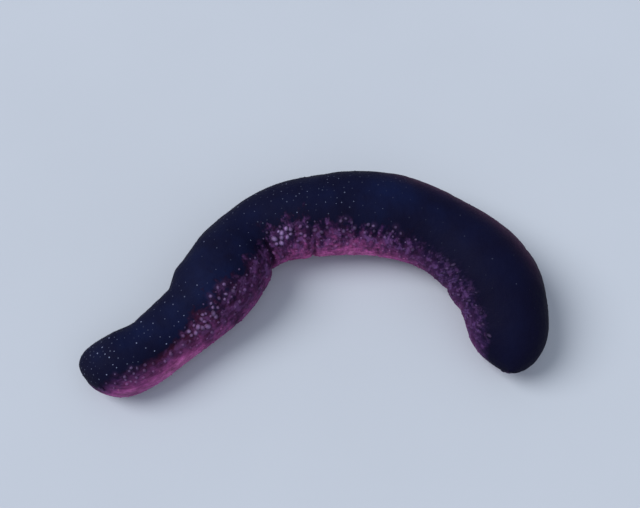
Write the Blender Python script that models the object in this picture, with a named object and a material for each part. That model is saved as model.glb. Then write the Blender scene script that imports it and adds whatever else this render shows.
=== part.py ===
"""A dark-backed, rose-bellied sea cucumber at life size, lying bent on a flat floor.

Lengths are in metres and angles in degrees. A station is a distance along the
body from the tip of the mouth end. Round the body, 0 degrees is the side inside
the bend, 90 the back, 180 the side outside the bend and 270 the sole.
"""

import math
import random

import bmesh
import bpy
from mathutils import Matrix, Vector

MM = 0.001

# The body line, seen from above: pairs of station in mm and heading from +X in degrees.
BODY_LENGTH = 239 * MM
BENDS = (
    (0, -2),
    (11, -2),
    (26, 36),
    (52, 47),
    (79, 61),
    (106, 16),
    (132, 2),
    (159, -21),
    (186, -47),
    (212, -79),
    (239, -103),
)

# Breadth of the body: pairs of station and breadth in mm. The cap of each end rounds it off.
BREADTHS = (
    (0, 18),
    (14, 25),
    (35, 26),
    (49, 28.5),
    (63, 33.5),
    (77, 34),
    (90, 30.5),
    (104, 32.5),
    (118, 34.5),
    (146, 35.5),
    (173, 33.5),
    (201, 36),
    (221, 31),
    (239, 29),
)
HEIGHT_OF_BREADTH = 0.9
AXIS_HEIGHT = 0.44
HEAD_CAP = 16 * MM
TAIL_CAP = 23.5 * MM
HEAD_LIFT = 2.5 * MM
HEAD_LIFT_LENGTH = 26 * MM

# Creases pressed into one flank, and swellings, which have a negative depth: station in mm,
# angle, depth in mm, half length in mm, spread in degrees.
CREASES = (
    (85, 20, 2.2, 3.5, 50),
    (115, 5, 0.8, 2.5, 45),
    (54, 160, 0.4, 5.0, 45),
    (29, 155, 0.3, 4.0, 45),
    (191, 0, 0.9, 3.0, 45),
    (206, 5, 0.8, 3.0, 45),
    (16, -10, -0.9, 5.0, 45),
)

# The lengths that the body is divided into, by the station in mm where each one ends.
LENGTHS = (
    ("head_end", 34),
    ("forebody", 76),
    ("front_trunk", 117),
    ("rear_trunk", 160),
    ("hindbody", 203),
    ("tail_end", 239),
)
GAP = 0.3 * MM
RING_SPACING = 3.2 * MM
POINTS_ROUND = 28
CAP_RINGS = 6

# Warts in rows below the line where the dark back meets the rose belly: pairs of station in mm
# and angle for the line of each flank, then the rows' angles from it.
INNER_LINE = ((0, -30), (9, 5), (15, 52), (54, 60), (100, 52), (140, 44), (167, 36), (196, 24), (239, 20))
OUTER_LINE = ((0, 210), (20, 196), (120, 192), (239, 198))
INNER_ROWS = (-6, -19, -33)
OUTER_ROWS = (6, 19)
WART_SPACING = 6.4 * MM
WART_PLAY = 6
WART_RADIUS = (0.95 * MM, 1.35 * MM)
WART_HEIGHT = 0.75
WART_CLUSTERS = ((54, 11), (100, 7))
CLUSTER_SWELLING = 0.25
FIRST_WART = 14 * MM
BARE_TAIL = 12 * MM

# Tube feet in one row along each edge of the sole.
FOOT_ANGLES = (-49, 229)
FOOT_SPACING = 6.5 * MM
FOOT_LENGTH = 2.0 * MM
FOOT_ROOT = 1.2 * MM
FOOT_RADIUS = 0.75 * MM
FOOT_TIP_HEIGHT = 0.75 * MM
FIRST_FOOT = 22 * MM

# The mouth, a puckered collar round twenty drawn-in tentacles, and the vent.
MOUTH_STATION = 3.0 * MM
MOUTH_SINK = 0.6 * MM
MOUTH_RADIUS = 4.3 * MM
MOUTH_DEPTH = 3.2 * MM
MOUTH_LIP = 0.9 * MM
MOUTH_PLEATS = 10
TENTACLE_RINGS = ((12, 1.32 * MM), (7, 0.62 * MM), (1, 0.0))
TENTACLE_RADIUS = 0.42 * MM
TENTACLE_ROOT_RADIUS = 1.75 * MM
TENTACLE_ROOT_DEPTH = 1.3 * MM
VENT_STATION = 1.5 * MM
VENT_SINK = 0.2 * MM
VENT_RADIUS = 3.0 * MM
VENT_DEPTH = 3.4 * MM
VENT_LIP = 0.5 * MM
VENT_PLEATS = 5
VENT_HOLE = 0.8 * MM
PLEAT_DEPTH = 0.22 * MM
RING_STEPS = 40

COLOURS = {
    "skin": ((0.018, 0.015, 0.040, 1), 0.42),
    "mouth_lip": ((0.30, 0.09, 0.20, 1), 0.45),
    "tentacle": ((0.16, 0.13, 0.12, 1), 0.5),
    "vent_lip": ((0.05, 0.03, 0.06, 1), 0.45),
}


def through(table, x):
    """The smooth curve through a table's pairs, at x."""
    last = len(table) - 1
    x = min(max(x, table[0][0]), table[last][0])
    i = next(k for k in range(last) if x <= table[k + 1][0])

    def slope(k):
        low, high = max(k - 1, 0), min(k + 1, last)
        return (table[high][1] - table[low][1]) / (table[high][0] - table[low][0])

    (x0, y0), (x1, y1) = table[i], table[i + 1]
    span = x1 - x0
    t = (x - x0) / span
    rise = t * t * (3 - 2 * t)
    leave = t * (1 - t) ** 2 * span * slope(i)
    arrive = t * t * (t - 1) * span * slope(i + 1)
    return y0 + (y1 - y0) * rise + leave + arrive


def body_line(step=0.5 * MM):
    """Points of the body line in plan, one for each step of station."""
    points = [Vector((0, 0))]
    for i in range(round(BODY_LENGTH / step)):
        heading = math.radians(through(BENDS, (i + 0.5) * step / MM))
        points.append(points[-1] + step * Vector((math.cos(heading), math.sin(heading))))
    return points, step


LINE, LINE_STEP = body_line()


def axes_at(station):
    """The body's axis point in plan, its direction, and the direction to the side inside the bend."""
    i = min(int(station / LINE_STEP), len(LINE) - 2)
    point = LINE[i].lerp(LINE[i + 1], station / LINE_STEP - i)
    heading = math.radians(through(BENDS, station / MM))
    along = Vector((math.cos(heading), math.sin(heading), 0))
    inward = Vector((math.sin(heading), -math.cos(heading), 0))
    return Vector((point.x, point.y, 0)), along, inward


def cap_share(station):
    """Share of the full breadth left at a station, where the ends round off."""
    from_tail = BODY_LENGTH - station
    short = 0.0
    if station < HEAD_CAP:
        short = 1 - station / HEAD_CAP
    elif from_tail < TAIL_CAP:
        short = 1 - from_tail / TAIL_CAP
    return math.sqrt(max(0.0, 1 - short * short))


def crease_depth(station, angle):
    depth = 0.0
    for at, toward, deep, half_length, spread in CREASES:
        off = (angle - toward + 180) % 360 - 180
        along = (station / MM - at) / half_length
        depth += deep * MM * math.exp(-along * along - (off / spread) ** 2)
    return depth


def skin_point(station, angle):
    """The point of the skin at a station and an angle round the body."""
    point, _, inward = axes_at(station)
    breadth = through(BREADTHS, station / MM) * MM
    height = breadth * HEIGHT_OF_BREADTH
    lift = HEAD_LIFT * max(0.0, 1 - station / HEAD_LIFT_LENGTH) ** 2
    share = cap_share(station)
    turn = math.radians(angle)
    pressed = crease_depth(station, angle) * share
    across = (breadth / 2 * share - pressed) * math.cos(turn)
    up = height * AXIS_HEIGHT + lift + (height / 2 * share - pressed) * math.sin(turn)
    return point + inward * across + Vector((0, 0, max(up, 0.0)))


def skin_frame(station, angle):
    """A frame on the skin: its origin, and its Z axis pointing straight out."""
    near, small = 0.4 * MM, 2.0
    low, high = max(station - near, 0.0), min(station + near, BODY_LENGTH)
    along = skin_point(high, angle) - skin_point(low, angle)
    round_ = skin_point(station, angle + small) - skin_point(station, angle - small)
    out = round_.cross(along).normalized()
    if out.dot(skin_point(station, angle) - skin_point(station, angle + 180)) < 0:
        out.negate()
    return frame_of(skin_point(station, angle), out)


def frame_of(origin, out):
    return Matrix.Translation(origin) @ out.to_track_quat("Z", "Y").to_matrix().to_4x4()


def end_frame(station, angle, tip, along, sink):
    """A frame on a rounded end, whose normal is that of the cap, a little below the skin."""
    breadth = through(BREADTHS, tip / MM) * MM
    cap = HEAD_CAP if tip == 0 else TAIL_CAP
    from_tip = abs(station - tip)
    outward = 1 - from_tip / cap
    share = math.sqrt(1 - outward * outward)
    turn = math.radians(angle)
    _, _, inward = axes_at(tip)
    out = -along * outward / cap
    out += inward * share * math.cos(turn) / (breadth / 2)
    out += Vector((0, 0, share * math.sin(turn) / (breadth * HEIGHT_OF_BREADTH / 2)))
    out.normalize()
    return frame_of(skin_point(station, angle) - out * sink, out)


def link(name, bm, slot=None):
    bmesh.ops.recalc_face_normals(bm, faces=bm.faces)
    mesh = bpy.data.meshes.new(name)
    bm.to_mesh(mesh)
    bm.free()
    obj = bpy.data.objects.new(name, mesh)
    bpy.context.scene.collection.objects.link(obj)
    if slot:
        mesh.materials.append(bpy.data.materials[slot])
        mesh.shade_smooth()
    return obj


def make_materials():
    for slot, (colour, roughness) in COLOURS.items():
        material = bpy.data.materials.new(slot)
        material.use_nodes = True
        shader = material.node_tree.nodes["Principled BSDF"]
        shader.inputs["Base Color"].default_value = colour
        shader.inputs["Roughness"].default_value = roughness
        shader.inputs["Metallic"].default_value = 0.0


def ring_stations(start, end):
    """Stations of a length's rings, closer together where an end rounds off."""
    stations = []
    quarter = [math.radians(90 * i / CAP_RINGS) for i in range(CAP_RINGS + 1)]
    if start <= 0:
        stations += [HEAD_CAP * (1 - math.cos(a)) for a in quarter[:-1]]
        start = HEAD_CAP
    tail = end >= BODY_LENGTH
    straight_end = BODY_LENGTH - TAIL_CAP if tail else end
    count = round((straight_end - start) / RING_SPACING)
    stations += [start + (straight_end - start) * i / count for i in range(count + 1)]
    if tail:
        stations += [BODY_LENGTH - TAIL_CAP * (1 - math.cos(a)) for a in reversed(quarter[:-1])]
    return stations


def body_mesh(name, start, end):
    """One length of the body: a grid of quads wrapped round the body line, with its ends filled."""
    stations = ring_stations(start, end)
    rows = len(stations) - 1
    bm = bmesh.new()
    bmesh.ops.create_grid(bm, x_segments=rows, y_segments=POINTS_ROUND, size=1)
    for vert in bm.verts:
        row = round((vert.co.x + 1) / 2 * rows)
        turn = round((vert.co.y + 1) / 2 * POINTS_ROUND) / POINTS_ROUND
        vert.co = skin_point(stations[row], 360 * turn)
    bmesh.ops.remove_doubles(bm, verts=bm.verts, dist=0.01 * MM)
    bmesh.ops.holes_fill(bm, edges=bm.edges, sides=0)
    return link(name, bm, "skin")


def wart(station, angle, radius):
    """A low dome, sunk in the skin to its middle."""
    bm = bmesh.new()
    bmesh.ops.create_uvsphere(bm, u_segments=6, v_segments=4, radius=1)
    size = Matrix.Diagonal((radius, radius, radius * WART_HEIGHT, 1))
    bmesh.ops.transform(bm, matrix=skin_frame(station, angle) @ size, verts=bm.verts)
    return link("wart", bm)


def tube_foot(station, angle):
    """A short tapered stub, rooted in the flank and reaching down to just above the floor."""
    root = skin_frame(station, angle)
    out = root.to_3x3() @ Vector((0, 0, 1))
    sideways = Vector((out.x, out.y, 0)).normalized()
    start = root.translation - out * FOOT_ROOT
    drop = start.z - FOOT_TIP_HEIGHT
    reach = math.sqrt(max((FOOT_ROOT + FOOT_LENGTH) ** 2 - drop * drop, 0.0))
    tip = start + sideways * reach - Vector((0, 0, drop))
    bm = bmesh.new()
    length = (tip - start).length
    bmesh.ops.create_cone(
        bm, cap_ends=True, segments=6, radius1=FOOT_RADIUS, radius2=0.85 * FOOT_RADIUS, depth=length
    )
    middle = frame_of((start + tip) / 2, (tip - start).normalized())
    bmesh.ops.transform(bm, matrix=middle, verts=bm.verts)
    return link("foot", bm)


def cluster_share(station):
    """How far a station lies inside a cluster of larger warts, from 0 to 1."""
    return sum(math.exp(-(((station / MM - at) / reach) ** 2)) for at, reach in WART_CLUSTERS)


def wart_spots(low, high, seed):
    """Station, angle and radius of each wart between two stations, spread evenly with some play."""
    draw = random.Random(seed)
    spots = []
    for line, rows in ((INNER_LINE, INNER_ROWS), (OUTER_LINE, OUTER_ROWS)):
        for row, below in enumerate(rows):
            count = int((high - low) / WART_SPACING)
            for i in range(count):
                stagger = 0.25 * (-1) ** row + draw.uniform(-0.14, 0.14)
                share = (i + 0.5 + stagger) / count
                station = low + (high - low) * share
                angle = through(line, station / MM) + below + draw.uniform(-WART_PLAY, WART_PLAY)
                radius = draw.uniform(*WART_RADIUS) * (1 + CLUSTER_SWELLING * cluster_share(station))
                if low <= station <= high:
                    spots.append((station, angle, radius))
    return spots


def foot_spots(low, high):
    count = int((high - low) / FOOT_SPACING)
    return [
        (low + (high - low) * (i + 0.5) / count, angle) for angle in FOOT_ANGLES for i in range(count)
    ]


def fuse(body, pieces, operation="UNION"):
    """Joins closed pieces to a body, or cuts them from it, and keeps its largest closed surface."""
    group = bpy.data.collections.new("pieces")
    bpy.context.scene.collection.children.link(group)
    for piece in pieces:
        group.objects.link(piece)
    boolean = body.modifiers.new("fuse", "BOOLEAN")
    boolean.operation = operation
    boolean.operand_type = "COLLECTION"
    boolean.collection = group
    boolean.solver = "EXACT"
    graph = bpy.context.evaluated_depsgraph_get()
    fused = bpy.data.meshes.new_from_object(body.evaluated_get(graph))
    body.modifiers.clear()
    body.data = fused
    for piece in pieces:
        bpy.data.objects.remove(piece)
    bpy.data.collections.remove(group)
    keep_largest(body.data)
    body.data.shade_smooth()
    body.data.set_sharp_from_angle(angle=math.radians(40))


def keep_largest(mesh):
    bm = bmesh.new()
    bm.from_mesh(mesh)
    left = set(bm.faces)
    shells = []
    while left:
        shell, edge_of = set(), [left.pop()]
        while edge_of:
            face = edge_of.pop()
            shell.add(face)
            near = {other for edge in face.edges for other in edge.link_faces} & left
            left -= near
            edge_of += near
        shells.append(shell)
    largest = max(shells, key=lambda shell: sum(face.calc_area() for face in shell))
    scraps = [face for face in bm.faces if face not in largest]
    bmesh.ops.delete(bm, geom=scraps, context="FACES")
    bm.to_mesh(mesh)
    bm.free()


def pocket(frame, radius, depth):
    """The round cutter that makes room for a collar in a rounded end."""
    above = 3 * MM
    bm = bmesh.new()
    bmesh.ops.create_cone(
        bm, cap_ends=True, segments=RING_STEPS, radius1=radius, radius2=radius, depth=depth + above
    )
    middle = Matrix.Translation((0, 0, (above - depth) / 2))
    bmesh.ops.transform(bm, matrix=frame @ middle, verts=bm.verts)
    return link("pocket", bm)


def collar(name, frame, outer, inner, depth, lip, pleats, slot):
    """A puckered ring: a profile turned about the frame's Z axis, its lip drawn into pleats."""
    wall = outer - inner
    profile = (
        (inner, -depth),
        (outer, -depth),
        (outer, -0.25 * depth),
        (outer - 0.2 * wall, 0.65 * lip),
        (outer - 0.5 * wall, lip),
        (inner + 0.15 * wall, 0.55 * lip),
        (inner, -0.3 * depth),
    )
    bm = bmesh.new()
    verts = [bm.verts.new((r, 0, z)) for r, z in profile]
    edges = [bm.edges.new((verts[i - 1], verts[i])) for i in range(len(verts))]
    bmesh.ops.spin(
        bm, geom=verts + edges, axis=(0, 0, 1), angle=math.tau, steps=RING_STEPS, use_merge=True
    )
    bmesh.ops.remove_doubles(bm, verts=bm.verts, dist=0.01 * MM)
    for vert in bm.verts:
        if vert.co.z > 0:
            turn = math.atan2(vert.co.y, vert.co.x)
            vert.co.z -= PLEAT_DEPTH * (1 - math.cos(pleats * turn))
    bmesh.ops.transform(bm, matrix=frame, verts=bm.verts)
    return link(name, bm, slot)


def tentacle_bunch(frame):
    """Twenty drawn-in tentacle tips on one root, seated inside the mouth collar."""
    floor = -(MOUTH_DEPTH - GAP)
    top = floor + TENTACLE_ROOT_DEPTH
    bm = bmesh.new()
    bmesh.ops.create_cone(
        bm,
        cap_ends=True,
        segments=24,
        radius1=TENTACLE_ROOT_RADIUS,
        radius2=TENTACLE_ROOT_RADIUS,
        depth=TENTACLE_ROOT_DEPTH,
    )
    middle = Matrix.Translation((0, 0, (floor + top) / 2))
    bmesh.ops.transform(bm, matrix=frame @ middle, verts=bm.verts)
    root = link("oral_tentacles", bm, "tentacle")
    tips = []
    for count, out in TENTACLE_RINGS:
        for i in range(count):
            turn = math.tau * i / count
            bm = bmesh.new()
            bmesh.ops.create_uvsphere(bm, u_segments=8, v_segments=5, radius=TENTACLE_RADIUS)
            place = (out * math.cos(turn), out * math.sin(turn), top + 0.1 * MM)
            bmesh.ops.transform(bm, matrix=frame @ Matrix.Translation(place), verts=bm.verts)
            tips.append(link("tip", bm))
    fuse(root, tips)
    return root


def main():
    for obj in list(bpy.data.objects):
        bpy.data.objects.remove(obj)
    make_materials()

    _, head_way, _ = axes_at(0)
    _, tail_way, _ = axes_at(BODY_LENGTH)
    mouth = end_frame(MOUTH_STATION, 270, 0, head_way, MOUTH_SINK)
    vent = end_frame(BODY_LENGTH - VENT_STATION, 270, BODY_LENGTH, -tail_way, VENT_SINK)

    start = 0.0
    for seed, (name, until) in enumerate(LENGTHS):
        end = until * MM
        low = start + GAP / 2 if start else 0.0
        high = end - GAP / 2 if end < BODY_LENGTH else BODY_LENGTH
        body = body_mesh(name, low, high)
        clear = WART_RADIUS[1] * (1 + CLUSTER_SWELLING) + GAP
        first = max(low + clear, FIRST_WART)
        last = min(high - clear, BODY_LENGTH - BARE_TAIL)
        pieces = [wart(*spot) for spot in wart_spots(first, last, seed)]
        pieces += [tube_foot(*spot) for spot in foot_spots(max(first, FIRST_FOOT), last)]
        fuse(body, pieces)
        if name == "head_end":
            fuse(body, [pocket(mouth, MOUTH_RADIUS, MOUTH_DEPTH)], "DIFFERENCE")
        if name == "tail_end":
            fuse(body, [pocket(vent, VENT_RADIUS, VENT_DEPTH)], "DIFFERENCE")
        start = end

    outer, inner, depth = MOUTH_RADIUS - GAP, TENTACLE_ROOT_RADIUS + GAP, MOUTH_DEPTH - GAP
    collar("mouth_collar", mouth, outer, inner, depth, MOUTH_LIP, MOUTH_PLEATS, "mouth_lip")
    tentacle_bunch(mouth)
    outer, inner, depth = VENT_RADIUS - GAP, VENT_HOLE, VENT_DEPTH - GAP
    collar("vent_collar", vent, outer, inner, depth, VENT_LIP, VENT_PLEATS, "vent_lip")
    centre_on_origin()


def centre_on_origin():
    """Sets the middle of the body's box over the origin, with the sole on the floor."""
    corners = [vert.co for obj in bpy.data.objects for vert in obj.data.vertices]
    middle = Vector((0, 0, 0))
    for axis in (0, 1):
        values = [corner[axis] for corner in corners]
        middle[axis] = (min(values) + max(values)) / 2
    for obj in bpy.data.objects:
        obj.data.transform(Matrix.Translation(-middle))


main()
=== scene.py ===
import math
import random

import bpy
import numpy as np
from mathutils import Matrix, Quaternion, Vector, kdtree, noise


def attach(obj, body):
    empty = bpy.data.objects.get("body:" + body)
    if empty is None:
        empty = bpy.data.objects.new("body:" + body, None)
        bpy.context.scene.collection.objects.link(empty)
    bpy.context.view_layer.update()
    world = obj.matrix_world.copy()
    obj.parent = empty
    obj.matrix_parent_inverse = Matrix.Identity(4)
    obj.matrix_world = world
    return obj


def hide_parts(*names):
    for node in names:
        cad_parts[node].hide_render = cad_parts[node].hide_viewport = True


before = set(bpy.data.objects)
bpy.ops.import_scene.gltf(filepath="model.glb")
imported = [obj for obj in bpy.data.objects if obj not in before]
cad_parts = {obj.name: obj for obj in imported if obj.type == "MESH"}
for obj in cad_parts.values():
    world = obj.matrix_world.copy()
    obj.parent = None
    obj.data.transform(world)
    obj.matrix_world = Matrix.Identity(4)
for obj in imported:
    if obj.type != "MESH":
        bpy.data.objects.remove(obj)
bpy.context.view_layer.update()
mm = 0.001

bodyShape = {
    "length": 239,
    "bends": ((0, -2), (11, -2), (26, 36), (52, 47), (79, 61), (106, 16), (132, 2), (159, -21),
              (186, -47), (212, -79), (239, -103)),  # station, heading
    "breadths": ((0, 18), (14, 25), (35, 26), (49, 28.5), (63, 33.5), (77, 34), (90, 30.5),
                 (104, 32.5), (118, 34.5), (146, 35.5), (173, 33.5), (201, 36), (221, 31),
                 (239, 29)),
    "heightShare": 0.9,
    "axisHeight": 0.44,
    "headCap": 16,
    "tailCap": 23.5,
    "headLift": 2.5,
    "headLiftLength": 26,
    "boxMiddle": (90.85, 34.29),  # sets the middle of the body over the origin
    "lineStep": 0.5,
    # wide creases, and swellings with a negative depth
    # each: station, angle, depth, half length, spread in degrees
    "creases": ((85, 20, 2.2, 3.5, 50), (115, 5, 0.8, 2.5, 45), (54, 160, 0.4, 5, 45),
                (29, 155, 0.3, 4, 45), (191, 0, 0.9, 3, 45), (206, 5, 0.8, 3, 45),
                (16, -10, -0.9, 5, 45)),
}


def through(table, x):  # the smooth curve through a table's pairs
    xs, ys = np.array(table, float).T
    slopes = np.empty_like(ys)
    slopes[1:-1] = (ys[2:] - ys[:-2]) / (xs[2:] - xs[:-2])
    slopes[0] = (ys[1] - ys[0]) / (xs[1] - xs[0])
    slopes[-1] = (ys[-1] - ys[-2]) / (xs[-1] - xs[-2])
    x = np.clip(x, xs[0], xs[-1])
    i = np.clip(np.searchsorted(xs, x) - 1, 0, len(xs) - 2)
    span = xs[i + 1] - xs[i]
    t = (x - xs[i]) / span
    rise = ys[i] + (ys[i + 1] - ys[i]) * t * t * (3 - 2 * t)
    return rise + span * (t * (1 - t) ** 2 * slopes[i] + t * t * (t - 1) * slopes[i + 1])


def straight(table, x):  # the plain line through a table's pairs
    xs, ys = np.array(table, float).T
    return np.interp(x, xs, ys)


def ease(low, high, x):  # 0 below the low end, 1 above the high one
    t = np.clip((x - low) / (high - low), 0, 1)
    return t * t * (3 - 2 * t)


def within(x, start, full, fade, end):  # 1 in the middle, fading out at both ends
    return ease(start, full, x) * (1 - ease(fade, end, x))


def bodyLine():
    step = bodyShape["lineStep"]
    count = round(bodyShape["length"] / step)
    headings = np.radians(through(bodyShape["bends"], (np.arange(count) + 0.5) * step))
    x = np.concatenate(([0], np.cumsum(np.cos(headings)) * step)) - bodyShape["boxMiddle"][0]
    y = np.concatenate(([0], np.cumsum(np.sin(headings)) * step)) - bodyShape["boxMiddle"][1]
    return np.arange(count + 1) * step, x, y


lineStations, lineX, lineY = bodyLine()


def lineAt(station):  # place in plan and heading of the body line
    heading = np.radians(through(bodyShape["bends"], station))
    x, y = (np.interp(station, lineStations, line) for line in (lineX, lineY))
    return x, y, heading


def girthAt(station):  # half breadth, half height and height of the axis
    half = through(bodyShape["breadths"], station) / 2
    tall = half * bodyShape["heightShare"]
    lift = bodyShape["headLift"] * np.clip(1 - station / bodyShape["headLiftLength"], 0, 1) ** 2
    return half, tall, 2 * tall * bodyShape["axisHeight"] + lift


def capShare(station):  # share of the full breadth left where the ends round off
    fromTail = bodyShape["length"] - station
    short = np.clip(1 - station / bodyShape["headCap"], 0, 1)
    short = np.maximum(short, np.clip(1 - fromTail / bodyShape["tailCap"], 0, 1))
    return np.sqrt(np.clip(1 - short * short, 0, 1))


def turnOff(angle, toward):  # signed turn from one angle to another
    return (angle - toward + 180) % 360 - 180


def fromSole(angle):  # the angle from -90 at the sole, over the back, to 270
    return (angle + 90) % 360 - 90


def creaseDepth(station, angle):
    depth = np.zeros_like(station)
    for at, toward, deep, halfLength, spread in bodyShape["creases"]:
        off = turnOff(angle, toward)
        depth += deep * np.exp(-((station - at) / halfLength) ** 2 - (off / spread) ** 2)
    return depth


def bodyPlace(station, angle):  # points of the smooth body, in mm
    station, angle = np.asarray(station, float), np.asarray(angle, float)
    x, y, heading = lineAt(station)
    half, tall, axis = girthAt(station)
    share = capShare(station)
    turn = np.radians(angle)
    pressed = creaseDepth(station, angle) * share
    across = (half * share - pressed) * np.cos(turn)
    up = axis + (tall * share - pressed) * np.sin(turn)
    return np.stack([x + np.sin(heading) * across, y - np.cos(heading) * across, up], -1)


def bodyCoordinates(points):  # station, distance across and distance up from the axis
    station = np.empty(len(points))
    lots = max(1, len(points) // 4000)
    for part in np.array_split(np.arange(len(points)), lots):  # the nearest point of the line
        gaps = (points[part, 0, None] - lineX) ** 2 + (points[part, 1, None] - lineY) ** 2
        station[part] = lineStations[gaps.argmin(1)]
    for _ in range(2):  # and twice a step closer
        x, y, heading = lineAt(station)
        ahead = (points[:, 0] - x) * np.cos(heading) + (points[:, 1] - y) * np.sin(heading)
        station = np.clip(station + ahead, 0, bodyShape["length"])
    x, y, heading = lineAt(station)
    across = (points[:, 0] - x) * np.sin(heading) - (points[:, 1] - y) * np.cos(heading)
    return station, across, points[:, 2] - girthAt(station)[2]


def capped(station, across, up):  # station and angle of the smooth body's point straight below
    half, tall, _ = girthAt(station)
    across, up = across / half, up / tall
    head, tail = bodyShape["headCap"], bodyShape["tailCap"]
    fromTail = bodyShape["length"] - station
    ahead = np.clip(1 - station / head, 0, 1) + np.clip(1 - fromTail / tail, 0, 1)
    size = np.sqrt(ahead ** 2 + across ** 2 + up ** 2)
    onHead, onTail = station < head, fromTail < tail
    station = np.where(onHead, head * (1 - ahead / size), station)
    station = np.where(onTail, bodyShape["length"] - tail * (1 - ahead / size), station)
    return station, np.degrees(np.arctan2(up, across)) % 360


def wobble(points, size, shift=0.0, squeeze=1):  # smooth noise from -1 to 1, features of that size
    places = points * squeeze / size + shift * 17.3
    return np.array([noise.noise(place) for place in places.tolist()])


def patchy(points, middle, contrast, *grain):  # the same from 0 to 1, cut off at both ends
    return np.clip(middle + contrast * wobble(points, *grain), 0, 1)


def getPoints(piece):
    points = np.empty(len(piece.data.vertices) * 3, np.float32)
    piece.data.vertices.foreach_get("co", points)
    return points.reshape(-1, 3).astype(float) / mm


def setPoints(piece, points):
    piece.data.vertices.foreach_set("co", (points * mm).astype(np.float32).ravel())
    piece.data.update()


def getNormals(piece):
    normals = np.empty(len(piece.data.vertices) * 3, np.float32)
    piece.data.vertex_normals.foreach_get("vector", normals)
    return normals.reshape(-1, 3).astype(float)


def inFixedOrder(piece):
    # extruding leaves points and faces in a chance order: these lists are the same on each run
    places = [tuple(vert.co) for vert in piece.data.vertices]
    rank = {old: new for new, old in enumerate(sorted(range(len(places)), key=places.__getitem__))}
    faces = []
    for face in piece.data.polygons:
        corners = [rank[i] for i in face.vertices]
        if len(corners) != 4:  # four-sided ones always start at the same corner
            first = corners.index(min(corners))
            corners = corners[first:] + corners[:first]
        faces.append(tuple(corners))
    return sorted(places), sorted(faces)


def deselectAll():
    if bpy.context.object and bpy.context.object.mode != "OBJECT":
        bpy.ops.object.mode_set(mode="OBJECT")
    bpy.ops.object.select_all(action="DESELECT")


# where the dark back meets the rose flank, and where the rose is solid: station and angle
markings = {
    "innerLine": ((0, -30), (6, 2), (10, 24), (15, 50), (21, 54), (32, 54), (44, 64), (57, 70),
                  (70, 62), (82, 58), (92, 66), (102, 60), (114, 58), (127, 54), (140, 50),
                  (155, 46), (167, 44), (180, 42), (196, 42), (215, 48), (229, 46), (239, 10)),
    "innerSolid": ((0, -70), (6, -30), (14, 22), (23, 30), (34, 34), (43, 26), (53, 16), (70, 14),
                   (88, 12), (107, 14), (122, 20), (135, 18), (152, 12), (167, 6), (183, -4),
                   (215, 4), (229, 2), (239, -40)),
    "outerLine": ((0, 210), (20, 194), (120, 190), (239, 198)),
    "outerBand": 30,
    "darkEnds": (1.6, 3.2, 1.6),  # reach of the dark at the mouth and the vent, its strength
    "innerBloom": ((0, 0.3), (12, 0.48), (22, 0.56), (34, 0.74), (46, 0.62), (60, 0.45), (80, 0.4),
                   (92, 0.6), (104, 0.9), (118, 1.0), (150, 0.9), (166, 0.48), (182, 0.24),
                   (210, 0.24), (239, 0.15)),
    "outerBloom": ((0, 0.5), (20, 0.75), (120, 0.8), (190, 0.5), (239, 0.3)),
    "paintedLowShade": (0.4, -8, -40),  # painted shade low on the flank: the bloom lost there, from and to these angles
    "rust": ((0, 0), (18, 0.15), (26, 0.9), (46, 1.0), (58, 0.5), (80, 0.2), (112, 0.3),
             (124, 0.2), (150, 0.1), (239, 0)),
    "ragged": ((0, 0.6), (12, 0.9), (22, 0.6), (34, 0.4), (54, 1.0), (142, 1.0), (160, 0.6),
               (176, 0.4), (239, 0.35)),  # how torn the edge of the dark is
    "rim": (150, 19, 138, 162, 194, 214),  # brown outer edge: angle, spread, start to end
    "blue": ((0, 0.5), (20, 0.8), (50, 1.0), (78, 0.9), (98, 0.4), (120, 0.6), (150, 0.9),
             (175, 0.5), (200, 0.3), (239, 0.25)),  # painted sheen: how much bluer the back is along the body
    "paintedSheenMiddle": (92, 48),  # angle and spread of the painted sheen along the top of the back
}


def roseAt(station, angle):  # 0 at the edge of the dark back, 1 where the rose is solid
    inner = through(markings["innerLine"], station)
    band = inner - through(markings["innerSolid"], station)
    turn = fromSole(angle)
    rose = (inner - turn) / band
    outer = (turn - through(markings["outerLine"], station)) / markings["outerBand"]
    atMouth, atVent, strength = markings["darkEnds"]
    ends = np.exp(-(station / atMouth) ** 2)
    ends += np.exp(-((bodyShape["length"] - station) / atVent) ** 2)
    return np.clip(np.maximum(rose, outer) - strength * ends, -2, 2)


def bloomAt(station, angle):  # how bright the rose is, with painted shade low on the flank
    outer = 0.5 - 0.5 * np.cos(np.radians(angle))
    inner = straight(markings["innerBloom"], station)
    bloom = (1 - outer) * inner + outer * straight(markings["outerBloom"], station)
    lost, high, low = markings["paintedLowShade"]
    return bloom * (1 - lost * ease(high, low, turnOff(angle, 0)) * (1 - outer))


def rimAt(station, angle):
    toward, spread, *stations = markings["rim"]
    return within(station, *stations) * np.exp(-(turnOff(angle, toward) / spread) ** 2)


def giveAttribute(piece, name, values):  # a number or a vector for each point
    kind, field = ("FLOAT_VECTOR", "vector") if values.ndim > 1 else ("FLOAT", "value")
    layer = piece.data.attributes.new(name, kind, "POINT")
    layer.data.foreach_set(field, values.astype(np.float32).ravel())


def paint(piece):  # writes where each point lies on the animal, for the finishes to read
    station, across, up = bodyCoordinates(getPoints(piece))
    onBody, angle = capped(station, across, up)
    inner = 0.5 + 0.5 * np.cos(np.radians(angle))
    # painted sheen: bluer along the middle of the back
    toward, spread = markings["paintedSheenMiddle"]
    middle = np.exp(-(turnOff(angle, toward) / spread) ** 2)
    giveAttribute(piece, "along", np.stack([station, across, up], -1) * mm)
    giveAttribute(piece, "rose", roseAt(onBody, angle))
    giveAttribute(piece, "bloom", bloomAt(onBody, angle))
    giveAttribute(piece, "rust", straight(markings["rust"], onBody) * inner)
    giveAttribute(piece, "rim", rimAt(onBody, angle))
    giveAttribute(piece, "ragged", straight(markings["ragged"], onBody))
    giveAttribute(piece, "blue", straight(markings["blue"], onBody) * middle)


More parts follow.
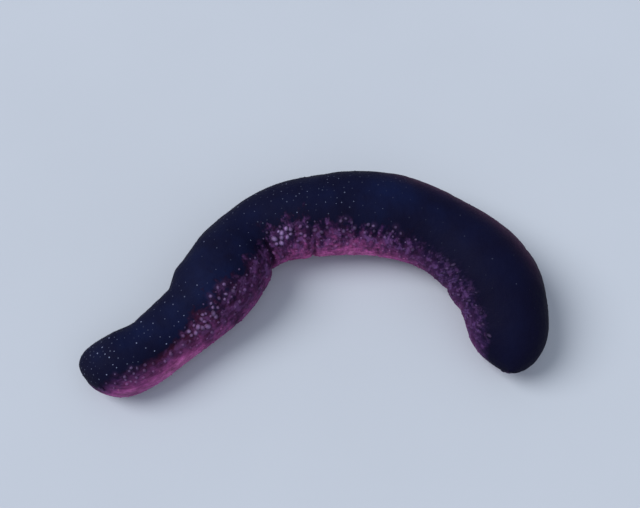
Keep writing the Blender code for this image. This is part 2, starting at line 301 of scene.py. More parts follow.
print("1 body skin")
skinSettings = {
    "pointsRound": 24,
    "headRings": 6,
    "tailRings": 7,
    "trunkRings": 47,
    "smoothLevels": 3,
}


def capRings(cap, rings):  # how far from its tip each ring of a rounded end lies
    return [cap * (1 - math.cos(math.pi / 2 * i / rings)) for i in range(1, rings)]


def ringStations():
    start, end = bodyShape["headCap"], bodyShape["length"] - bodyShape["tailCap"]
    head = capRings(start, skinSettings["headRings"])
    trunk = np.linspace(start, end, skinSettings["trunkRings"] + 1)
    tail = [bodyShape["length"] - off
            for off in capRings(bodyShape["tailCap"], skinSettings["tailRings"])]
    return head + list(trunk) + tail[::-1]


def ringPlace(station):  # centre, heading and half breadth of a ring, in metres
    station = np.array(station)
    x, y, heading = lineAt(station)
    half, _, axis = girthAt(station)
    share = capShare(station)
    return Vector((float(x), float(y), float(axis))) * mm, float(heading), float(half * share) * mm


def buildSkin():
    deselectAll()
    stations = ringStations()
    centre, heading, half = ringPlace(stations[0])
    bpy.ops.mesh.primitive_circle_add(vertices=skinSettings["pointsRound"], radius=half,
                                      location=centre,
                                      rotation=(math.pi / 2, 0, heading - math.pi / 2))
    skin = bpy.context.object
    skin.name = skin.data.name = "bodySkin"
    bpy.ops.object.transform_apply(location=True, rotation=True, scale=True)
    bpy.ops.object.mode_set(mode="EDIT")
    bpy.ops.mesh.select_mode(type="VERT")
    bpy.ops.mesh.select_all(action="SELECT")
    bpy.ops.transform.resize(value=(1, 1, bodyShape["heightShare"]), center_override=centre)
    for station in stations[1:]:  # each ring is drawn out of the last one
        nextCentre, nextHeading, nextHalf = ringPlace(station)
        bpy.ops.mesh.extrude_region_move(TRANSFORM_OT_translate={"value": nextCentre - centre})
        bpy.ops.transform.rotate(value=heading - nextHeading, orient_axis="Z",
                                 center_override=nextCentre)
        bpy.ops.transform.resize(value=(nextHalf / half,) * 3, center_override=nextCentre)
        centre, heading, half = nextCentre, nextHeading, nextHalf
    tip, _, _ = ringPlace(bodyShape["length"])
    bpy.ops.mesh.extrude_region_move(TRANSFORM_OT_translate={"value": tip - centre})
    bpy.ops.mesh.merge(type="CENTER")
    bpy.ops.mesh.select_all(action="DESELECT")
    bpy.ops.mesh.select_non_manifold()  # the open ring at the head
    first, _, _ = ringPlace(stations[0])
    tip, _, _ = ringPlace(0)
    bpy.ops.mesh.extrude_region_move(TRANSFORM_OT_translate={"value": tip - first})
    bpy.ops.mesh.merge(type="CENTER")
    bpy.ops.mesh.select_all(action="SELECT")
    bpy.ops.mesh.normals_make_consistent(inside=False)
    bpy.ops.object.mode_set(mode="OBJECT")
    points, faces = inFixedOrder(skin)
    skin.data.clear_geometry()
    skin.data.from_pydata(points, [], faces)
    bpy.ops.object.modifier_add(type="SUBSURF")
    skin.modifiers[-1].levels = skin.modifiers[-1].render_levels = skinSettings["smoothLevels"]
    bpy.ops.object.modifier_apply(modifier=skin.modifiers[-1].name)
    bpy.ops.object.shade_smooth()
    return skin


skin = buildSkin()
print("  points", len(skin.data.vertices), "faces", len(skin.data.polygons))

# the warts are chosen first, because the skin swells under them
wartSettings = {
    "seed": 23,
    "tries": 14000,
    "stations": (11, 229),
    "band": (0.02, 1.2),  # from and to this far into the rose
    "gap": (1.9, 3.3),
    "gapPatches": (0.5, 0.9, 6, 21),  # noise: middle, contrast, size, shift
    "radius": (0.35, 0.72),
    "height": (0.5, 0.15),  # of the radius, and how much more in a large wart
    "bright": (0.02, 0.2),
    "stretch": (0.85, 1.25),
    "turn": 1.2,
    "tilt": 0.4,
    # pale groups: station, angle, reach in mm, warts, smallest and largest radius, brightness
    "groups": ((44, 45, 2.5, 6, 0.6, 0.9, 0.55), (50, 48, 3.2, 8, 0.55, 0.95, 0.42),
               (58, 59, 3.8, 8, 0.55, 0.85, 0.38), (65, 46, 3.6, 5, 0.5, 0.8, 0.24),
               (97, 45, 3.0, 6, 0.6, 0.95, 0.8), (104, 47, 2.8, 4, 0.6, 0.9, 0.62),
               (112, 42, 3.4, 4, 0.5, 0.8, 0.24), (142, 46, 0.5, 1, 0.65, 0.75, 0.36),
               (128, 42, 4.5, 4, 0.5, 0.75, 0.18), (152, 36, 4.5, 4, 0.5, 0.75, 0.18),
               (19, 46, 3.6, 9, 0.4, 0.65, 0.24)),
    "groupTries": 400,
    "groupLength": 1.25,  # length of a group, of its breadth
    "groupGap": 0.92,  # of the two radii together
    "groupBright": (0.45, 1),
    "groupStretch": (0.75, 1.4),
    # towards the vent they grow longer and lower: from and to these stations, and how much
    "hindStations": (158, 185),
    "hind": {"stretch": 0.8, "radius": 0.15, "bright": 0.35, "play": 0.75, "turn": 0.6,
             "height": 0.45},
    "near": 4,  # the skin feels a wart up to this many of its radii away
    "mound": (0.32, 1.3),  # rise and reach of the swelling under a wart, of its radius
    "ring": (0.25, 0.5, 1.25, 0.38),  # painted shade in a ring round each wart: tone, more in a large wart, radius, half width
    "halo": (0.1, 1.7),  # pale skin by a large wart: tone over its own, reach
}
dotSettings = {
    "seed": 11,
    "tries": 9000,
    "gaps": ((0, 1.3), (8, 1.5), (16, 1.8), (30, 2.3), (48, 2.9), (62, 4.4), (76, 3.3), (90, 2.1),
             (125, 2.2), (150, 3.0), (165, 4.2), (185, 6.0), (239, 7.0)),
    "bright": ((0, 0.5), (30, 0.75), (55, 0.5), (75, 0.34), (95, 0.5), (120, 0.4), (140, 0.28),
               (165, 0.16), (190, 0.1), (239, 0.08)),
    "shares": (0.14, 0.2, 0.28, 0.36, 0.5, 0.9),
    "radius": (0.17, 0.36),
    "height": 0.5,  # of the radius
    "clumps": (0.72, 1.5),  # the gaps where the dots crowd and where they thin out
    "clumpPatches": (0.5, 1.1, 7, 27),
    "edge": -0.22,  # how far into the dark they start
}
bellySettings = {
    "seed": 37,
    "tries": 7000,
    "gap": 2.6,
    "radius": (0.35, 0.6),
    "height": 0.45,
    "bright": (0.04, 0.2),
    "stations": (10, 231),
    "angles": (-46, 226),
    "edge": 1.25,  # how far into the rose they start
}


def throwSpots(draw, tries, gapAt, allowed, taken=()):
    # spots over the body, clear of each other and, by part of the gap, of the places taken
    margin, takenGap = 0.5, 0.4
    station = np.array([draw.uniform(margin, bodyShape["length"] - margin) for _ in range(tries)])
    angle = np.array([draw.uniform(0, 360) for _ in range(tries)])
    fits = allowed(station, angle)
    station, angle = station[fits], angle[fits]
    places, kept = bodyPlace(station, angle), []
    gaps = gapAt(station, angle, places)
    for i, place in enumerate(places):
        clear = all((place - centre) @ (place - centre) > (reach + takenGap * gaps[i]) ** 2
                    for centre, reach in taken)
        if clear and (not kept or ((places[kept] - place) ** 2).sum(1).min() > gaps[i] ** 2):
            kept.append(i)
    return station[kept], angle[kept]


def groupWarts(draw):  # the large pale warts, packed close in their groups
    chosen = []
    for at, toward, reach, count, small, large, bright in wartSettings["groups"]:
        half = float(girthAt(np.array(at))[0])
        mine = 0
        for _ in range(wartSettings["groupTries"]):
            off, way = reach * math.sqrt(draw.random()), draw.uniform(0, math.tau)
            station = at + wartSettings["groupLength"] * off * math.cos(way)
            angle = toward + math.degrees(off * math.sin(way) / half)
            radius = draw.uniform(small, large)
            place = bodyPlace(station, angle)
            if all(np.linalg.norm(place - other["place"])
                   > wartSettings["groupGap"] * (radius + other["radius"]) for other in chosen):
                chosen.append({"station": station, "angle": angle, "place": place,
                               "radius": radius,
                               "bright": bright * draw.uniform(*wartSettings["groupBright"]),
                               "stretch": draw.uniform(*wartSettings["groupStretch"]),
                               "big": 1.0})
                mine += 1
            if mine == count:
                break
    return chosen


def chooseWarts():
    draw = random.Random(wartSettings["seed"])
    chosen = groupWarts(draw)
    low, high = wartSettings["band"]
    first, last = wartSettings["stations"]
    near, far = wartSettings["gap"]

    def inBand(station, angle):
        rose = roseAt(station, angle)
        return (rose > low) & (rose < high) & (station > first) & (station < last)

    def gapAt(station, angle, places):
        return near + (far - near) * patchy(places, *wartSettings["gapPatches"])

    taken = [(wart["place"], wart["radius"]) for wart in chosen]
    stations, angles = throwSpots(draw, wartSettings["tries"], gapAt, inBand, taken)
    change = wartSettings["hind"]
    for station, angle in zip(stations, angles):
        hind = float(ease(*wartSettings["hindStations"], station))
        radius = draw.uniform(*wartSettings["radius"]) * (1 - change["radius"] * hind)
        bright = draw.uniform(*wartSettings["bright"]) * (1 - change["bright"] * hind)
        stretch = draw.uniform(*wartSettings["stretch"]) * (1 + change["stretch"] * hind)
        chosen.append({"station": station, "angle": angle, "place": bodyPlace(station, angle),
                       "radius": radius, "bright": bright, "stretch": stretch, "big": 0.0})
    return chosen


warts = chooseWarts()
print("  warts", len(warts))

sculptSettings = {
    "soleLift": 0.55,  # the tube feet hold the sole this far off the floor
    "soleSoftness": 0.9,
    "plainEnds": 6,  # the folds and wrinkles fade out this near the tips
    "lumps": ((15, 0.32), (7, 0.16), (3.2, 0.1), (1.5, 0.07)),  # size, height
    # small swells: station, angle, height, half length, spread
    "swells": ((57, 160, 1.2, 5, 45), (48, 160, -0.4, 4, 45), (227, 168, 0.9, 9, 55),
               (6, -30, 0.9, 5, 35), (226, -12, 1.0, 8, 45), (238, 10, -0.6, 4, 100)),
    # narrow folds: station, from angle, to angle, depth, half width, slant in mm per degree
    "folds": ((86.5, -60, 52, 1.1, 1.3, 0.05), (115, -45, 30, 0.8, 0.7, 0.02),
              (101, -50, 5, 0.35, 0.6, -0.02), (58, -50, 20, 0.4, 0.7, 0.03),
              (72, -60, 24, 0.45, 0.7, 0.05), (130, -50, 0, 0.35, 0.6, 0.02),
              (146, -50, 4, 0.35, 0.6, 0.03), (50, 150, 215, 0.25, 1.1, 0.02),
              (29, 150, 210, 0.2, 1.0, -0.02), (118, 150, 215, 0.25, 0.9, 0.03),
              (168, 150, 215, 0.25, 1.1, -0.03), (198, 150, 215, 0.25, 1.1, 0.02)),
    "foldEnds": (12, 6),  # a fold fades from this far outside its ends to this far inside
    "knobs": ((3.4, 0.3), (1.7, 0.16)),  # size and height of the lumps where dark meets rose
    "knobBand": (0.5, 0.55),  # middle and spread, into the rose
    "knobFade": (155, 185, 0.75),  # from and to these stations, and how much is lost
    # cross wrinkles, ridges of the inner flank towards the vent, and pleats along the belly
    # wanders: strength, size and shift of each noise that bends the lines
    # broken: middle, contrast, size and shift of the noise that breaks them
    "wrinkles": {"spacing": 2.4, "depth": 0.3, "flank": 0.4, "back": 0.12, "rose": (0.1, 1),
                 "wanders": ((2.4, 8, 5), (2.2, 3.5, 6)),
                 "broken": (0.5, 1.1, 4, 7, (1, 0.5, 0.5))},
    "ridges": {"spacing": 1.9, "height": 0.22, "trough": 0.4, "slant": -0.22, "sharpness": 1.5,
               "angle": (10, 26), "stations": (164, 184, 222, 234), "rose": (-0.5, 0.3),
               "wanders": ((1.4, 5, 8), (2.4, 2.6, 10)),
               "broken": (0.2, 1.7, 2.0, 11, (1, 0.6, 0.6))},
    "pleats": {"spacing": 2.6, "depth": 0.1, "rose": (0.5, 1.2), "fade": (165, 190),
               "wanders": ((3.2, 9, 8), (2, 3, 9, (0.3, 1, 1)))},
    "foldShade": (1.1, 0.9, 0.6),  # how dark the painted shade in the folds, the wrinkles and the rings by warts is
}


def foldDepth(station, angle):  # narrow folds, with their ends fading out
    depth = np.zeros_like(station)
    turn = fromSole(angle)
    outside, inside = sculptSettings["foldEnds"]
    for at, low, high, deep, halfWidth, slant in sculptSettings["folds"]:
        middle = at + slant * (turn - (low + high) / 2)
        ends = within(turn, low - outside, low + inside, high - inside, high + outside)
        depth += deep * ends * np.exp(-((station - middle) / halfWidth) ** 2)
    return depth


def moundsUnder(points):  # the swelling under the warts, the painted shade in a ring round them, and the pale skin by them
    tree = kdtree.KDTree(len(warts))
    for number, wart in enumerate(warts):
        tree.insert(wart["place"], number)
    tree.balance()
    rise, gap, pale = np.zeros((3, len(points)))
    share, reach = wartSettings["mound"]
    tone, more, ringRadius, ringWidth = wartSettings["ring"]
    glow, haloReach = wartSettings["halo"]
    for i, point in enumerate(points.tolist()):
        _, number, away = tree.find(point)
        wart = warts[number]
        off = away / wart["radius"]
        if off < wartSettings["near"]:
            ring = math.exp(-((off - ringRadius) / ringWidth) ** 2)
            rise[i] = share * wart["radius"] * math.exp(-(off / reach) ** 2)
            # painted shade in a ring round the wart
            gap[i] = (tone + more * wart["big"]) * ring
            pale[i] = wart["big"] * (glow + wart["bright"]) * math.exp(-(off / haloReach) ** 2)
    return rise, gap, pale


def ripple(phase, along, wanders):  # waves whose lines wander
    for strength, *grain in wanders:
        phase = phase + strength * wobble(along, *grain)
    return np.sin(phase)


def crossWrinkles(station, along, rose):
    wrinkles = sculptSettings["wrinkles"]
    wave = ripple(2 * math.pi * station / wrinkles["spacing"], along, wrinkles["wanders"])
    more = wrinkles["flank"] - wrinkles["back"]
    mask = wrinkles["back"] + more * ease(*wrinkles["rose"], rose)
    return (1 - np.abs(wave)) ** 2 * patchy(along, *wrinkles["broken"]) * mask


def hindRidges(station, angle, along, rose):  # their crests, and how far they rise
    ridges = sculptSettings["ridges"]
    toward, spread = ridges["angle"]
    off = turnOff(angle, toward)
    reach = within(station, *ridges["stations"]) * np.exp(-(off / spread) ** 2)
    reach *= ease(*ridges["rose"], rose)
    wave = ripple(2 * math.pi * (station + ridges["slant"] * off) / ridges["spacing"], along,
                  ridges["wanders"])
    crest = np.clip(wave, 0, 1) ** ridges["sharpness"] * reach * patchy(along, *ridges["broken"])
    return crest, ridges["height"] * (crest - ridges["trough"] * reach * np.clip(-wave, 0, 1))


def bellyPleats(station, angle, along, rose, half):
    pleats = sculptSettings["pleats"]
    arc = np.radians(turnOff(angle, 0)) * half
    wave = ripple(2 * math.pi * arc / pleats["spacing"], along, pleats["wanders"])
    belly = ease(*pleats["rose"], rose) * (1 - ease(*pleats["fade"], station))
    return pleats["depth"] * (1 - np.abs(wave)) ** 2 * belly


def sculpt(skin):
    station, across, up = bodyCoordinates(getPoints(skin))
    station, angle = capped(station, across, up)
    points = bodyPlace(station, angle)
    half, tall, _ = girthAt(station)
    share = capShare(station)
    turn = np.radians(angle)
    along = np.stack([station, half * share * np.cos(turn), tall * share * np.sin(turn)], -1)
    setPoints(skin, points)
    normals = getNormals(skin)
    rose = roseAt(station, angle)
    length, plain = bodyShape["length"], sculptSettings["plainEnds"]
    ends = within(station, 0, plain, length - plain, length)
    height = np.zeros_like(station)
    for number, (size, rise) in enumerate(sculptSettings["lumps"]):
        height += rise * wobble(along, size, number + 1)
    for at, toward, rise, halfLength, spread in sculptSettings["swells"]:
        height += rise * np.exp(-((station - at) / halfLength) ** 2
                                - (turnOff(angle, toward) / spread) ** 2)
    middle, spread = sculptSettings["knobBand"]
    between = np.exp(-((rose - middle) / spread) ** 2) * ends
    fade, gone, lost = sculptSettings["knobFade"]
    for number, (size, rise) in enumerate(sculptSettings["knobs"]):
        left = 1 - lost * ease(fade, gone, station)
        height += rise * between * left * wobble(along, size, number + 31)
    height -= foldDepth(station, angle) * ends
    crease = crossWrinkles(station, along, rose) * ends
    height -= sculptSettings["wrinkles"]["depth"] * crease
    crest, ridgeRise = hindRidges(station, angle, along, rose)
    height += ridgeRise
    height -= bellyPleats(station, angle, along, rose, half) * ends
    mound, gap, pale = moundsUnder(points)
    height += mound
    points += normals * height[:, None]
    above = points[:, 2] - sculptSettings["soleLift"]
    soft = sculptSettings["soleSoftness"]
    points[:, 2] = sculptSettings["soleLift"] + 0.5 * (above + np.sqrt(above ** 2 + soft ** 2))
    setPoints(skin, points)
    # painted shade: the folds, the wrinkles and the rings by warts darken the colour
    inFolds, inWrinkles, inRings = sculptSettings["foldShade"]
    dark = np.clip(foldDepth(station, angle) * inFolds, 0, 1)
    dark = dark + inWrinkles * crease + inRings * gap
    giveAttribute(skin, "paintedFoldShade", np.clip(dark, 0, 1))
    giveAttribute(skin, "crest", crest)
    giveAttribute(skin, "pale", pale)


sculpt(skin)
paint(skin)


def rgb(red, green, blue):  # screen colour to shader colour
    parts = [part / 255 for part in (red, green, blue)]
    return tuple(p / 12.92 if p <= 0.04045 else ((p + 0.055) / 1.055) ** 2.4 for p in parts) + (1,)


def newMaterial(name, roughness, specular):
    material = bpy.data.materials.new(name)
    material.use_nodes = True
    shader = material.node_tree.nodes["Principled BSDF"]
    shader.inputs["Roughness"].default_value = roughness
    shader.inputs["Specular IOR Level"].default_value = specular
    return material, material.node_tree, shader


def addNode(tree, kind, **settings):
    made = tree.nodes.new(kind)
    for name, value in settings.items():
        setattr(made, name, value)
    return made


def readAttribute(tree, name, output="Fac"):
    return addNode(tree, "ShaderNodeAttribute", attribute_name=name).outputs[output]


def feed(tree, value, socket):  # joins an output to a socket, or sets a plain value on it
    if isinstance(value, bpy.types.NodeSocket):
        tree.links.new(value, socket)
    else:
        socket.default_value = value


def calc(tree, operation, first, second=0.0, third=0.0):
    made = addNode(tree, "ShaderNodeMath", operation=operation)
    for value, socket in zip((first, second, third), made.inputs):
        feed(tree, value, socket)
    return made.outputs[0]


def times(tree, first, second):
    return calc(tree, "MULTIPLY", first, second)


def scaled(tree, value, factor, plus):
    return calc(tree, "MULTIPLY_ADD", value, factor, plus)


def mixColours(tree, share, first, second, way="MIX"):
    made = addNode(tree, "ShaderNodeMix", data_type="RGBA", blend_type=way)
    feed(tree, share, made.inputs[0])
    feed(tree, first, made.inputs[6])  # the colour sockets come after the plain ones
    feed(tree, second, made.inputs[7])
    return made.outputs[2]


def noiseAt(tree, vector, scales, detail=2.0, roughness=0.5, shift=0.0):  # features per metre
    mapping = addNode(tree, "ShaderNodeMapping")
    tree.links.new(vector, mapping.inputs["Vector"])
    mapping.inputs["Scale"].default_value = scales
    mapping.inputs["Location"].default_value = (shift, shift * 0.7, shift * 1.3)
    made = addNode(tree, "ShaderNodeTexNoise")
    made.inputs["Scale"].default_value = 1
    made.inputs["Detail"].default_value = detail
    made.inputs["Roughness"].default_value = roughness
    tree.links.new(mapping.outputs[0], made.inputs["Vector"])
    return made.outputs["Fac"]


def ramp(tree, value, stops):
    made = addNode(tree, "ShaderNodeValToRGB")
    while len(made.color_ramp.elements) < len(stops):
        made.color_ramp.elements.new(0.5)
    for element, (place, colour) in zip(made.color_ramp.elements, stops):
        element.position = place
        element.color = colour
    feed(tree, value, made.inputs["Fac"])
    return made.outputs["Color"]


def greyRamp(tree, value, stops):
    return ramp(tree, value, [(place, (grey, grey, grey, 1)) for place, grey in stops])


fleshColours = {
    "back": rgb(10, 9, 33),
    # painted sheen on the middle of the back
    "paintedSheenBlue": rgb(14, 22, 56),
    "edge": rgb(30, 18, 50),
    "between": rgb(84, 44, 86),
    "rose": rgb(160, 76, 134),
    "roseLight": rgb(204, 120, 172),
    "dimBetween": rgb(45, 27, 64),
    "dimRose": rgb(84, 45, 92),
    "dimLight": rgb(110, 64, 116),
    "mauve": rgb(120, 82, 142),
    "rust": rgb(80, 24, 42),
    # painted shade in folds, wrinkles, lip grooves and round warts
    "paintedFoldShade": rgb(14, 7, 28),
    "crest": rgb(104, 78, 136),
    "rim": rgb(80, 48, 76),
}


fleshPatterns = {  # noise: features per metre along, across and up, detail, roughness, shift
    "fingers": ((230, 110, 110), 3, 0.55, 3.1),
    "spots": ((560, 560, 560), 3, 0.6, 7.7),
    "grains": ((1900, 1900, 1900), 2, 0.6, 1.9),
    # the clouds carry the painted sheen on the back
    "clouds": ((70, 70, 70), 3, 0.55, 5.3),
    "patches": ((260, 330, 330), 3, 0.6, 4.4),
    "lines": ((300, 850, 850), 2, 0.5, 2.3),
    "blotches": ((300, 340, 340), 3, 0.55, 9.2),
}
fleshGains = {  # factor and plus of each of them, where it counts
    "fingers": (2.1, -1.05),
    "spots": (1.3, 0.65),  # the second one is taken off
    "level": (0.25, 0.25),
    "clouds": (2.4, -0.5),
    "patches": (2.5, -0.22),
    "lines": (1.5, 0.27),
    "grains": (0.9, 0.55),
    "shade": (0.45, 0.55),  # how strong the last three are, by the bloom
    "blotches": (0.35, 0.3),  # by the bloom
    "rim": (1.2, 0.1),  # by the spots
}
fleshSettings = {
    "backEdge": (0.2, 0.32),  # levels where the back ends and the flank is whole
    "blotchEdge": ((0.5, 0), (0.64, 1)),
    "blotchBand": ((0.26, 0), (0.38, 1), (0.7, 0)),
    "rustBand": ((0.22, 0), (0.36, 1), (0.6, 0)),
    "pale": 0.5,
    "rust": 0.5,
    # how strong the painted shade in folds and round warts is
    "paintedFoldShade": 0.8,
    "crest": 0.9,
    "grainShine": 0.3,
    "bump": (0.5, 0.0002, 1.5),  # strength, height, share of the spots
}


def flankColour(tree, level, bloom, patterns):
    colours = fleshColours
    bright = ramp(tree, level, ((0.24, colours["back"]), (0.34, colours["edge"]),
                                (0.46, colours["between"]), (0.66, colours["rose"]),
                                (0.95, colours["roseLight"])))
    dim = ramp(tree, level, ((0.26, colours["back"]), (0.38, colours["edge"]),
                             (0.52, colours["dimBetween"]), (0.70, colours["dimRose"]),
                             (0.95, colours["dimLight"])))
    shade = scaled(tree, patterns["patches"], *fleshGains["patches"])
    for key in ("lines", "grains"):
        shade = times(tree, shade, scaled(tree, patterns[key], *fleshGains[key]))
    # the bloom picks between the dim and the bright ramp: tone along the body, and painted shade
    # low on the flank
    return mixColours(tree, scaled(tree, bloom, *fleshGains["shade"]),
                      mixColours(tree, bloom, dim, bright), shade, "MULTIPLY")


def blotchShare(tree, level, bloom, patterns):  # dusky mauve blotches between dark and rose
    blotches = greyRamp(tree, patterns["blotches"], fleshSettings["blotchEdge"])
    band = greyRamp(tree, level, fleshSettings["blotchBand"])
    return times(tree, times(tree, blotches, band), scaled(tree, bloom, *fleshGains["blotches"]))


def fleshFinish(name, tipColour=None, roughness=0.66, specular=0.05):
    material, tree, shader = newMaterial(name, roughness, specular)
    colours, shares = fleshColours, fleshSettings
    along = readAttribute(tree, "along", "Vector")
    rose, bloom = readAttribute(tree, "rose"), readAttribute(tree, "bloom")
    patterns = {key: noiseAt(tree, along, *grain) for key, grain in fleshPatterns.items()}
    grains, spots = patterns["grains"], patterns["spots"]
    # how far into the rose: the dark edge at a quarter, broken into fingers and small spots
    torn = scaled(tree, patterns["fingers"], *fleshGains["fingers"])
    factor, less = fleshGains["spots"]
    torn = scaled(tree, spots, factor, calc(tree, "SUBTRACT", torn, less))
    reach = scaled(tree, torn, readAttribute(tree, "ragged"), rose)
    level = scaled(tree, reach, *fleshGains["level"])
    # painted sheen: the back turns bluer in soft clouds along its middle
    clouds = scaled(tree, patterns["clouds"], *fleshGains["clouds"])
    clouds = times(tree, clouds, readAttribute(tree, "blue"))
    back = mixColours(tree, clouds, colours["back"], colours["paintedSheenBlue"])
    onFlank = addNode(tree, "ShaderNodeMapRange", interpolation_type="SMOOTHSTEP")
    low, high = shares["backEdge"]
    onFlank.inputs["From Min"].default_value = low
    onFlank.inputs["From Max"].default_value = high
    feed(tree, level, onFlank.inputs["Value"])
    colour = mixColours(tree, onFlank.outputs[0], back, flankColour(tree, level, bloom, patterns))
    blotches = blotchShare(tree, level, bloom, patterns)
    if not tipColour:
        pale = times(tree, readAttribute(tree, "pale"), shares["pale"])
        blotches = calc(tree, "ADD", blotches, pale)
    colour = mixColours(tree, blotches, colour, colours["mauve"])
    rust = times(tree, greyRamp(tree, level, shares["rustBand"]), readAttribute(tree, "rust"))
    colour = mixColours(tree, times(tree, rust, shares["rust"]), colour, colours["rust"])
    rim = times(tree, readAttribute(tree, "rim"), scaled(tree, spots, *fleshGains["rim"]))
    colour = mixColours(tree, rim, colour, colours["rim"])
    # painted shade in the folds, the wrinkles, the lip grooves and round the warts
    paintedFoldShade = times(tree, readAttribute(tree, "paintedFoldShade"), shares["paintedFoldShade"])
    colour = mixColours(tree, paintedFoldShade, colour, colours["paintedFoldShade"])
    if tipColour:
        colour = mixColours(tree, readAttribute(tree, "tip"), colour, tipColour)
    else:
        crest = times(tree, readAttribute(tree, "crest"), shares["crest"])
        colour = mixColours(tree, crest, colour, colours["crest"])
    feed(tree, colour, shader.inputs["Base Color"])
    shine = shares["grainShine"]
    feed(tree, scaled(tree, grains, shine, roughness - 0.5 * shine), shader.inputs["Roughness"])
    bump = addNode(tree, "ShaderNodeBump")
    strength, height, ofSpots = shares["bump"]
    bump.inputs["Strength"].default_value = strength
    bump.inputs["Distance"].default_value = height
    feed(tree, calc(tree, "ADD", grains, times(tree, spots, ofSpots)), bump.inputs["Height"])
    feed(tree, bump.outputs[0], shader.inputs["Normal"])
    return material


skin.data.materials.append(fleshFinish("velvetSkin"))
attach(skin, "root")
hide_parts("head_end", "forebody", "front_trunk", "rear_trunk", "hindbody", "tail_end")

print("2 warts and dots")
spotSettings = {
    "flare": 1.35,  # the foot of a dome, of its radius
    "sink": 0.12,  # how deep a spot is set in the skin
    "lowest": 0.6,  # height of the lowest spot
    "tip": (0.25, 1.4),  # tone at the foot, of that at the tip, and how late it grows
    "onMap": (0.02, 0.96),  # margin and breadth of the body on the map
    "domePatch": (0.0014, 0.0),  # size and shift of a spot's patch on the map
    "footPatch": (0.0004, 0.0022),  # the same for its faces below this height
    "footHeight": 0.05,
}


def modelDome(name, sides, rings):  # half a ball with a flared foot
    deselectAll()
    bpy.ops.mesh.primitive_uv_sphere_add(segments=sides, ring_count=rings * 2, radius=1,
                                         location=(0, 0, 0))
    dome = bpy.context.object
    dome.name = name
    bpy.ops.object.mode_set(mode="EDIT")
    bpy.ops.mesh.select_all(action="SELECT")
    bpy.ops.mesh.bisect(plane_co=(0, 0, 0.02), plane_no=(0, 0, 1), clear_inner=True, use_fill=True)
    bpy.ops.mesh.select_all(action="DESELECT")
    bpy.ops.object.mode_set(mode="OBJECT")
    for face in dome.data.polygons:
        face.select = face.normal.z < -0.9
    bpy.ops.object.mode_set(mode="EDIT")
    bpy.ops.transform.resize(value=(spotSettings["flare"], spotSettings["flare"], 1))
    bpy.ops.object.mode_set(mode="OBJECT")
    return dome


def takeModel(piece):  # its points and faces as lists, and the piece itself goes
    points, faces = inFixedOrder(piece)
    bpy.data.objects.remove(piece)
    return points, faces


def addPiece(name, corners, faces, tips):  # a new piece from lists, in mm
    mesh = bpy.data.meshes.new(name)
    mesh.from_pydata([tuple(corner * mm) for corner in corners], [], faces)
    piece = bpy.data.objects.new(name, mesh)
    bpy.context.scene.collection.objects.link(piece)
    mesh.shade_smooth()
    giveAttribute(piece, "tip", np.clip(np.array(tips), 0, 1))
    paint(piece)
    return piece


def copyOnSkin(name, model, spots):
    # the model turned and scaled for each spot of way out, way along, place, radius, height,
    # stretch, brightness and middle of its patch on the map
    points, faces = model
    corners, allFaces, tips, patches = [], [], [], []
    dull, power = spotSettings["tip"]
    for out, forward, place, radius, tall, stretch, bright, patch in spots:
        side = out.cross(forward).normalized()
        forward = side.cross(out)
        base = len(corners)
        for x, y, z in points:
            corners.append(place + forward * (x * radius) + side * (y * radius * stretch)
                           + out * (z * tall))
            tips.append(bright * (dull + (1 - dull) * max(0.0, z) ** power))
        for face in faces:
            allFaces.append(tuple(base + i for i in face))
            flat = max(points[i][2] for i in face) < spotSettings["footHeight"]
            size, aside = spotSettings["footPatch" if flat else "domePatch"]
            patches += [(patch[0] + aside + size * points[i][0], patch[1] + size * points[i][1])
                        for i in face]
    piece = addPiece(name, corners, allFaces, tips)
    layer = piece.data.uv_layers.new(name="OFBake")
    layer.data.foreach_set("uv", np.array(patches, np.float32).ravel())
    return piece


def spotOnSkin(station, angle, radius, tall, stretch=1.0, bright=1.0, turn=0.0, tilt=0.0,
               sink=spotSettings["sink"]):
    place = Vector(bodyPlace(station, angle))
    place.z = max(place.z, spotSettings["lowest"])
    _, place, out, _ = skin.closest_point_on_mesh(place * mm)
    heading = float(lineAt(np.array(station))[2])
    forward = Quaternion(out, turn) @ Vector((math.cos(heading), math.sin(heading), 0))
    margin, breadth = spotSettings["onMap"]
    patch = (margin + breadth * station / bodyShape["length"],
             margin + breadth * (angle % 360) / 360)
    leaning = Quaternion(out.cross(forward).normalized(), tilt) @ out
    return leaning, forward, place / mm - out * sink, radius, tall, stretch, bright, patch


def roundSpot(settings, station, angle, radius, bright):  # a small dome as wide as long
    tall = settings["height"] * radius + spotSettings["sink"]
    return spotOnSkin(station, angle, radius, tall, bright=bright)


def makeDots():
    def gapAt(station, angle, places):
        low, high = dotSettings["clumps"]
        crowd = low + (high - low) * patchy(places, *dotSettings["clumpPatches"])
        return straight(dotSettings["gaps"], station) * crowd

    def inDark(station, angle):
        return roseAt(station, angle) < dotSettings["edge"]

    draw = random.Random(dotSettings["seed"])
    stations, angles = throwSpots(draw, dotSettings["tries"], gapAt, inDark)
    spots = []
    for station, angle in zip(stations, angles):
        bright = straight(dotSettings["bright"], station) * draw.choice(dotSettings["shares"])
        radius = draw.uniform(*dotSettings["radius"])
        spots.append(roundSpot(dotSettings, station, angle, radius, bright))
    return copyOnSkin("backDots", takeModel(modelDome("dot", 7, 2)), spots)


